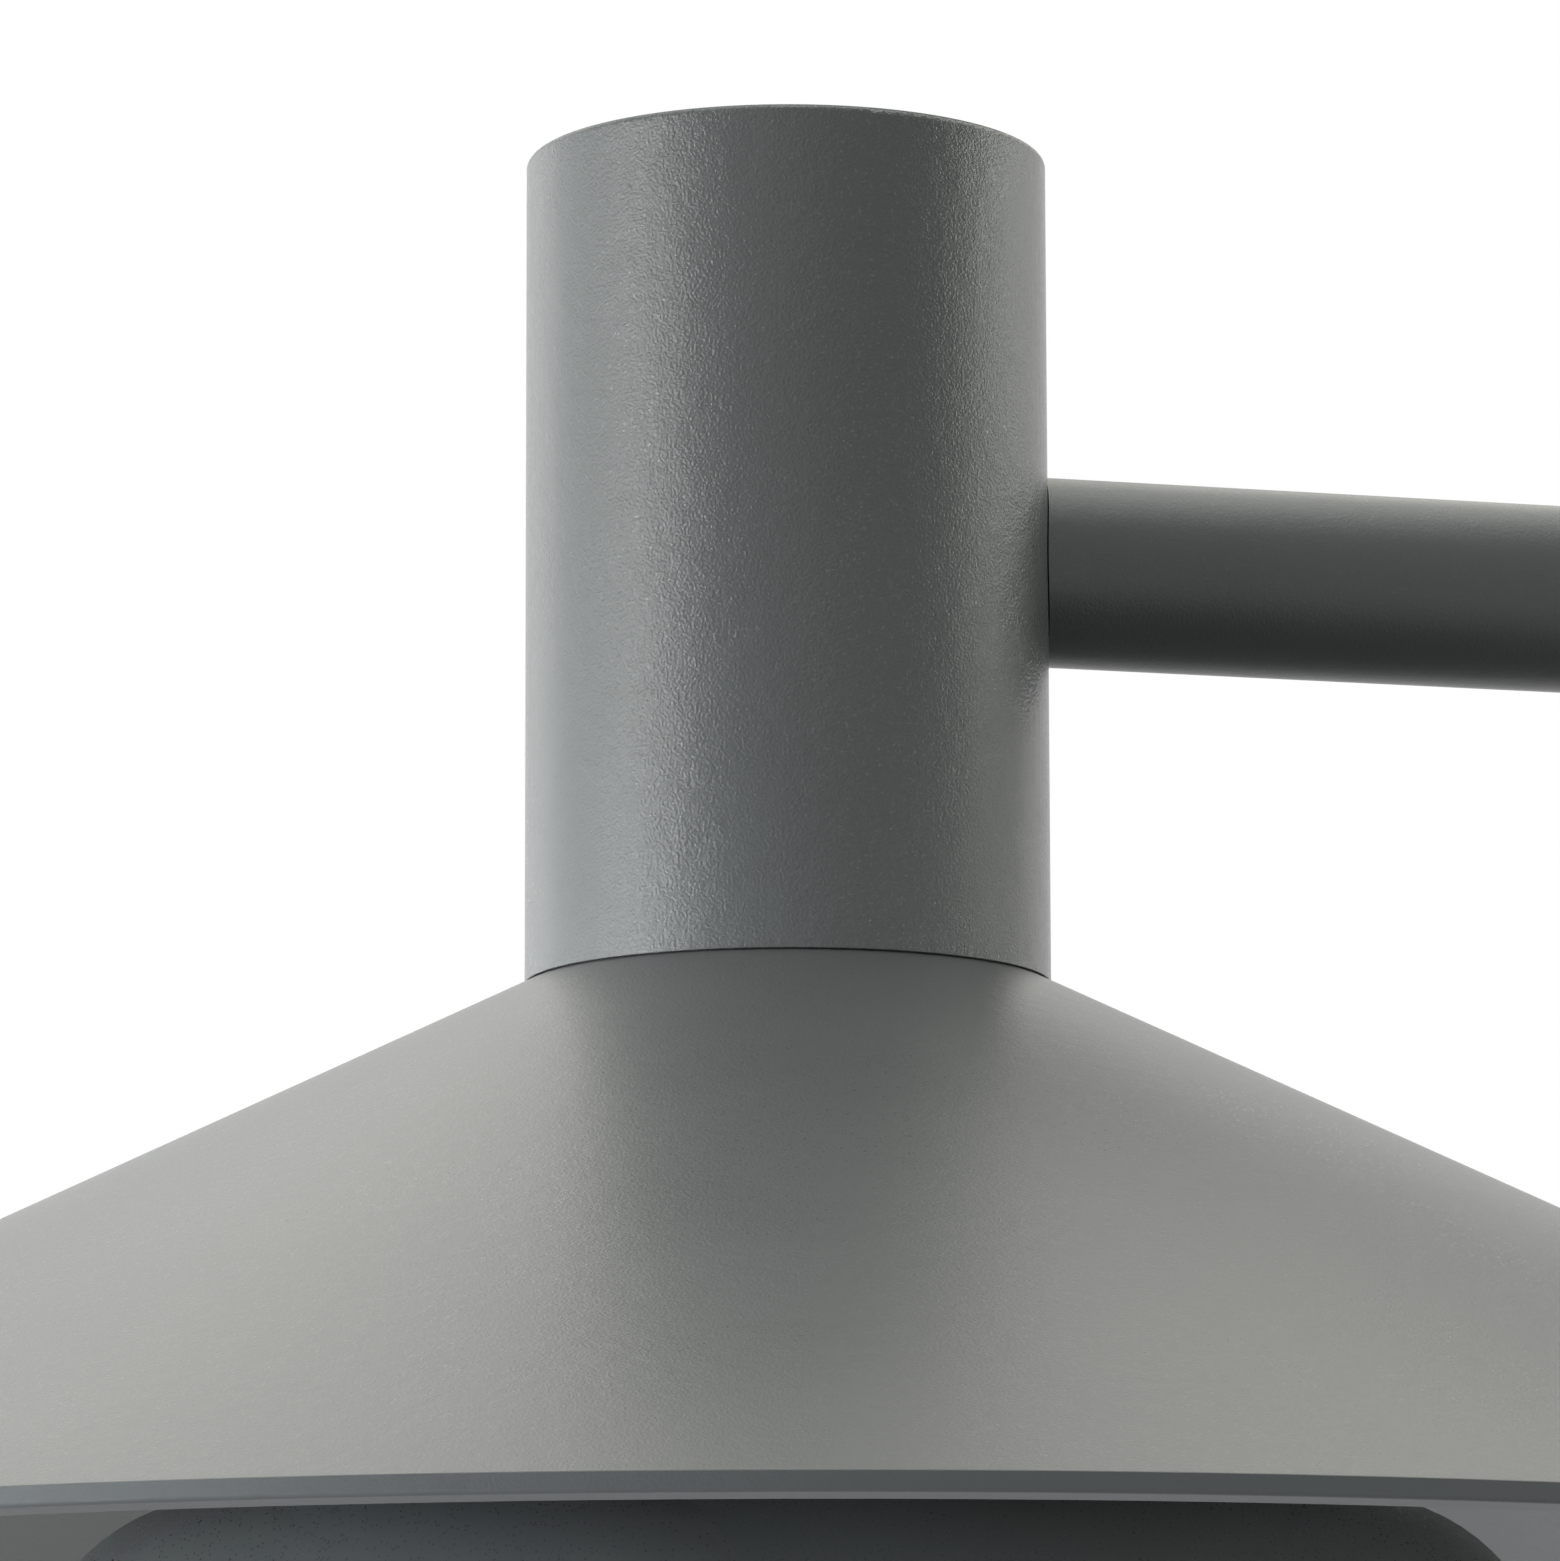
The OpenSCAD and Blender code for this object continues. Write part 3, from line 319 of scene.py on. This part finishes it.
LOW_SIZE = (0.5, 0.12)
LOW_SPREAD = math.radians(12.0)
# Each row: turn in degrees, watts, colour.
LOW_LAMPS = {
    "low_left": (-90.0, 0.36, (0.88, 0.96, 1.0)),
    "low_front_left": (-60.0, 0.08, (0.86, 0.96, 1.0)),
    "low_front": (-25.0, 0.045, (0.85, 1.0, 0.98)),
    "low_right": (60.0, 0.085, (0.96, 1.0, 0.92)),
}


def add_lamp(name, aim, turn_deg, rise_deg, size, power, colour, spread=math.pi):
    """A soft box that faces a point. Its turn is counted from the camera, to the right."""
    turn, rise = math.radians(turn_deg), math.radians(rise_deg)
    level = right * math.sin(turn) - ahead * math.cos(turn)
    outward = level * math.cos(rise) + Vector((0.0, 0.0, math.sin(rise)))
    data = bpy.data.lights.new(name, "AREA")
    data.shape = "RECTANGLE"
    data.size, data.size_y = size
    data.energy = power
    data.color = colour
    data.spread = spread
    item = bpy.data.objects.new(name, data)
    bpy.context.collection.objects.link(item)
    item.location = aim + outward * LAMP_DISTANCE
    item.rotation_euler = (-outward).to_track_quat("-Z", "Y").to_euler()
    item.visible_camera = False


for name, settings in LAMPS.items():
    add_lamp(name, HEAD_MIDDLE, *settings)
for name, (turn, power, colour) in LOW_LAMPS.items():
    add_lamp(name, UNDER_RIM, turn, LOW_RISE, LOW_SIZE, power, colour, LOW_SPREAD)
bpy.context.scene.view_settings.view_transform = "Standard"
watts = sum(row[3] for row in LAMPS.values()) + sum(row[1] for row in LOW_LAMPS.values())
print("lamps:", len(LAMPS) + len(LOW_LAMPS), "with", round(watts, 1), "W together")

# %% [markdown]
# ## The graphite powder coat
#
# Nearly all that shows is one finish: a fine-texture powder coat in graphite grey. Sprayed
# powder melts into a skin with grains of about half a millimetre, and a little aluminium
# pigment makes some of them glint. It could be an image texture, but a pattern that is
# calculated stays sharp at any distance. Noise at two sizes makes the bumps, cells that
# pass a threshold are the bright flakes, and a slow noise varies the grey.
#
# The grain stands out on the can and is calm on the arm and the shade, so one recipe makes
# three coats. The shade's is a touch warmer. Below the height of its rolled edge the coat is
# duller, and its darker grey there is painted shade on that edge. The flat tops of the
# post and the can lie at one height. Rain and dust settle there, so they are duller too.

# %% Graphite powder coat
GRAIN_SIZE = 0.00034
PEEL_SIZE = 0.003
PATCH_SIZE = 0.06
FLAKE_SIZE = 0.00022
GRAPHITE_DARK = (0.100, 0.107, 0.109)
GRAPHITE_LIGHT = (0.158, 0.168, 0.170)
SHADE_DARK = grey(0.107, -0.03)
SHADE_LIGHT = grey(0.168, -0.02)
# Painted shade: a darker grey for the shade's rolled edge.
EDGE_PAINTED_SHADE = grey(0.080, -0.06)
EDGE_DULLER = 0.25
EDGE_HEIGHT = 0.0021
TOP_DULLER = 0.35
TOP_SKIN = 0.0003


def dress(material, *names):
    """Gives these CAD nodes the material."""
    for name in names:
        nodes[name].data.materials[0] = material


def powder_coat(name, dark, light, rough, grain_depth, flakes, edge_z=None, top_z=None):
    """A coat that is duller below edge_z, where its darker grey is painted shade, and duller above
    top_z.
    """
    coat = Finish(bpy.data.materials.new(name))
    grain = coat.noise(GRAIN_SIZE, 2.0, 0.55)
    peel = coat.noise(PEEL_SIZE, 2.0)
    patches = coat.noise(PATCH_SIZE, 3.0, 0.6)
    fleck = coat.ramp(coat.cells(FLAKE_SIZE), 0.80, 0.90)
    skin = coat.tint(patches * 0.7 + fleck * flakes, dark, light)
    roughness = rough + (patches - 0.5) * 0.08 - fleck * 0.08
    # Below the rolled edge the grey is painted shade, and the coat is duller there.
    if edge_z is not None:
        edge = coat.height() < edge_z
        inputs = {"Factor_Float": edge, "A_Color": skin, "B_Color": (*EDGE_PAINTED_SHADE, 1.0)}
        skin = coat.add("ShaderNodeMix", {"data_type": "RGBA"}, inputs, "Result_Color")
        roughness = roughness + edge * EDGE_DULLER
    if top_z is not None:
        roughness = roughness + (coat.height() > top_z) * TOP_DULLER
    return coat.surface({
        "Base Color": skin,
        "Roughness": roughness,
        "Metallic": fleck * flakes * 0.8,
        "Normal": coat.bump(grain + peel, grain_depth),
    })


graphite = powder_coat("powder_graphite", GRAPHITE_DARK, GRAPHITE_LIGHT,
                       rough=0.25, grain_depth=0.00012, flakes=0.35,
                       top_z=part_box("post_cap")[1].z - TOP_SKIN)
arm_coat = powder_coat("powder_graphite_arm", GRAPHITE_DARK, GRAPHITE_LIGHT,
                       rough=0.36, grain_depth=0.00004, flakes=0.2)
shade_coat = powder_coat("powder_graphite_shade", SHADE_DARK, SHADE_LIGHT,
                         rough=0.36, grain_depth=0.00004, flakes=0.2,
                         edge_z=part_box("shade")[0].z + EDGE_HEIGHT)
dress(graphite, "head_can", "post_tube", "post_cap", "door", "base_plate", "foot_weld")
dress(arm_coat, "arm_tube")
dress(shade_coat, "shade")
print("graphite coats on 8 nodes")

# %% [markdown]
# ## The light unit's coat, darker partly with painted shade
#
# The cast housing and its ring are nearly without grain: a satin coat. The same recipe
# serves, with very shallow grains, few flakes and a lower grey, which is partly painted
# shade for the shadow they sit in under the shade.

# %% Dark coat, partly painted shade
dark_coat_and_painted_shade = powder_coat("powder_dark", grey(0.084, -0.04), grey(0.115, -0.03),
                        rough=0.32, grain_depth=0.000015, flakes=0.05)
dress(dark_coat_and_painted_shade, "led_housing", "bezel")
print("dark coat on 2 nodes")

# %% [markdown]
# ## Bare metals
#
# Inside, and at the screws, bare metal shows. All of them are the same recipe with their
# own numbers: full metallic, a tint that wanders a little because plating and casting are
# never even, and a roughness that follows the handling. Cast aluminium is matt and grainy,
# zinc plate shifts between blue and straw, stainless screws are smoother, and brass warms.

# %% Bare metals
def bare_metal(name, dark, light, rough, grain, depth, spread=0.12):
    """A metal between two tints. The size and depth of its grain are in metres."""
    metal = Finish(bpy.data.materials.new(name))
    cloud = metal.noise(0.012, 3.0, 0.6)
    grains = metal.noise(grain, 3.0, 0.6)
    return metal.surface({
        "Base Color": metal.tint(cloud, dark, light),
        "Metallic": 1.0,
        "Roughness": rough + (cloud - 0.5) * spread + (grains - 0.5) * spread,
        "Normal": metal.bump(grains, depth),
    })


cast = bare_metal("cast_aluminium", grey(0.42), grey(0.55), 0.5, 0.0009, 0.00012)
zinc = bare_metal("zinc_steel", (0.50, 0.53, 0.58), (0.62, 0.60, 0.54), 0.34, 0.0006, 0.00003, 0.2)
steel = bare_metal("screw_steel", grey(0.52), grey(0.66, 0.01), 0.27, 0.0003, 0.00002)
brass = bare_metal("brass", (0.52, 0.34, 0.13), (0.68, 0.50, 0.22), 0.3, 0.0004, 0.00002)
dress(cast, "neck", "can_plug", "arm_bush_head", "arm_bush_post", "saddle_head", "saddle_post")
dress(zinc, "nipple_head", "nipple_post", "arm_nuts", "door_frame", "gear_lugs", "gear_plate",
      "earth_washers")
dress(steel, "neck_screws", "housing_screws", "board_screws", "bezel_screws", "cap_screws",
      "door_screws", "gear_screws", "driver_screws")
dress(brass, "earth_stud", "earth_nuts")
print("bare metals on 23 nodes")

# %% [markdown]
# ## Rubber
#
# Gaskets, grommets and the cable's jacket are black rubber: almost no colour, a dull
# surface, and a bloom of paler patches where it was handled. One recipe does for all.

# %% Rubber
rubber = Finish(bpy.data.materials.new("rubber_black"))
bloom = rubber.noise(0.009, 3.0, 0.65)
pores = rubber.noise(0.0004, 2.0)
rubber_skin = rubber.surface({
    "Base Color": rubber.tint(bloom, grey(0.010), grey(0.024)),
    "Roughness": 0.66 + bloom * 0.16,
    "Normal": rubber.bump(pores, 0.00003),
})
dress(rubber_skin, "seam_gasket", "neck_gasket", "cable_grommet", "diffuser_seal", "lamp_cable",
      "cap_seal", "door_seal", "entry_grommet")
print("rubber on 8 nodes")

# %% [markdown]
# ## Plastics
#
# The diffuser is opal plastic, which lets light in and scatters it, so it gets a little
# subsurface scattering under a satin skin. The driver's case, the terminals, the connector
# and the reflector are moulded white, with the faint orange peel of a spark-eroded mould.
# The blue lead has a smooth sleeve.

# %% Plastics
def moulded(name, dark, light, rough, grain, depth, subsurface=0.0):
    """A plastic between two tints, whose skin has peel of this size and depth in metres."""
    plastic = Finish(bpy.data.materials.new(name))
    cloud = plastic.noise(0.02, 2.0)
    peel = plastic.noise(grain, 2.0)
    return plastic.surface({
        "Base Color": plastic.tint(cloud, dark, light),
        "Roughness": rough + (peel - 0.5) * 0.12 + (cloud - 0.5) * 0.06,
        "Subsurface Weight": subsurface,
        "Subsurface Radius": (0.004, 0.004, 0.003),
        "Subsurface Scale": 1.0,
        "Normal": plastic.bump(peel, depth),
    })


opal = moulded("opal_plastic", (0.74, 0.75, 0.72), (0.80, 0.80, 0.77), 0.36, 0.0016, 0.00003, 0.35)
white = moulded("white_plastic", grey(0.66, 0.01), grey(0.74), 0.42, 0.0007, 0.00004)
sleeve = moulded("lead_blue", (0.015, 0.05, 0.26), (0.02, 0.07, 0.34), 0.34, 0.0005, 0.00001)
dress(opal, "diffuser")
dress(white, "reflector", "board_connector", "led_driver", "terminal_block")
dress(sleeve, "driver_leads")
print("plastics on 6 nodes")

# %% [markdown]
# ## The lamp board
#
# The board is aluminium under white solder mask. Copper rings under the mask join the
# emitters and stand up a little, so they are drawn by distance from the lamp's axis: where
# the distance is near a ring's radius, the mask is a shade darker and higher. The emitters
# are yellow phosphor under clear, glossy silicone.

# %% Lamp board and emitters
RINGS = (0.022, 0.036, 0.050)
TRACK_HALF = 0.0009

board = Finish(bpy.data.materials.new("board_white"))
offset = board.add("ShaderNodeVectorMath", {"operation": "SUBTRACT"},
                   {"Vector": board.place(), "Vector_001": HEAD}, "Vector")
flat = board.add("ShaderNodeVectorMath", {"operation": "MULTIPLY"},
                 {"Vector": offset, "Vector_001": (1.0, 1.0, 0.0)}, "Vector")
axis_distance = board.add("ShaderNodeVectorMath", {"operation": "LENGTH"}, {"Vector": flat}, "Value")
track = sum(board.maths("COMPARE", axis_distance, ring, TRACK_HALF) for ring in RINGS)
mask_cloud = board.noise(0.01, 2.0)
solder_mask = board.surface({
    "Base Color": board.tint(track * 0.6 + mask_cloud * 0.3, grey(0.70), grey(0.56, 0.02)),
    "Roughness": 0.38 + mask_cloud * 0.08,
    "Normal": board.bump(track, 0.00004),
})
dress(solder_mask, "led_board")

phosphor = Finish(bpy.data.materials.new("emitter_yellow"))
speckle = phosphor.noise(0.0003, 2.0)
lens = phosphor.surface({
    "Base Color": phosphor.tint(speckle, (0.78, 0.56, 0.08), (0.86, 0.70, 0.16)),
    "Roughness": 0.3 + speckle * 0.1,
    "Coat Weight": 1.0,
    "Normal": phosphor.bump(speckle, 0.000005),
})
dress(lens, "led_chips")
print("board rings at", RINGS, "m; emitters dressed")

# %% [markdown]
# ## New pieces
#
# A new piece is a mesh of its own. It could keep its own place and turn, but the CAD nodes
# all sit at the origin with their place in their mesh, so a new one does the same. It
# rides on the lamp.

# %% The way to add a piece
def new_piece(name, shape, material):
    """Makes a mesh object of the bmesh, dresses it, and lets it ride on the lamp."""
    bmesh.ops.recalc_face_normals(shape, faces=shape.faces)
    mesh = bpy.data.meshes.new(name)
    for face in shape.faces:
        face.smooth = True
    shape.to_mesh(mesh)
    shape.free()
    mesh.materials.append(material)
    piece = bpy.data.objects.new(name, mesh)
    bpy.context.collection.objects.link(piece)
    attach(piece, "root")
    print(name, "faces:", len(mesh.polygons))
    return piece


print("new pieces ride on the lamp")

# %% [markdown]
# ## The weld round the foot
#
# The post is welded to its base plate. A weld isn't a smooth fillet: the pool freezes in
# overlapping crescents, like a row of coins. A texture could fake that, but the bead's edge
# would stay straight, so the real shape is spun: a rounded cross-section goes round the
# post, and its points then move in and out in a wave that bends along the section.

# %% Weld bead
WELD_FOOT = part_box("foot_weld")[0].z
WELD_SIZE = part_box("foot_weld")[1].z - WELD_FOOT
POST_R = 0.030
INTO_POST = 0.0004
INTO_PLATE = 0.0002
SECTION_STEPS = 8
BELLY = 0.18
WELD_STEPS = 480
WELD_RIPPLES = 84
RIPPLE_DEPTH = 0.00032
RIPPLE_MIDDLE = 0.6
RIPPLE_BOW = 2.2

shape = bmesh.new()
section = []
for i in range(SECTION_STEPS + 1):
    angle = math.radians(90.0 * i / SECTION_STEPS)
    belly = 1.0 - BELLY * math.sin(2.0 * angle)
    out = WELD_SIZE * (1.0 - math.sin(angle) * belly)
    rise = WELD_SIZE * (1.0 - math.cos(angle) * belly)
    section.append(shape.verts.new((POST_R + out, 0.0, WELD_FOOT + rise)))
inside, below = POST_R - INTO_POST, WELD_FOOT - INTO_PLATE
section.append(shape.verts.new((inside, 0.0, WELD_FOOT + WELD_SIZE)))
section.append(shape.verts.new((inside, 0.0, below)))
section.append(shape.verts.new((POST_R + WELD_SIZE, 0.0, below)))
edges = [shape.edges.new(pair) for pair in zip(section, section[1:] + section[:1])]
bmesh.ops.spin(shape, geom=section + edges, axis=(0.0, 0.0, 1.0), cent=(0.0, 0.0, 0.0),
               steps=WELD_STEPS, angle=math.tau, use_merge=True)
for vert in shape.verts:
    radius = vert.co.xy.length
    if radius <= POST_R or vert.co.z <= WELD_FOOT:
        continue
    along = (vert.co.z - WELD_FOOT) / WELD_SIZE
    bow = RIPPLE_BOW * (along - 0.5) ** 2
    turn = math.atan2(vert.co.y, vert.co.x)
    wave = abs(math.sin(0.5 * (turn * WELD_RIPPLES + bow * math.tau)))
    push = RIPPLE_DEPTH * (wave - RIPPLE_MIDDLE)
    outward = Vector((vert.co.x / radius, vert.co.y / radius, 1.0)).normalized()
    vert.co += outward * push
weld = new_piece("weld_bead", shape, graphite)
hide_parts("foot_weld")
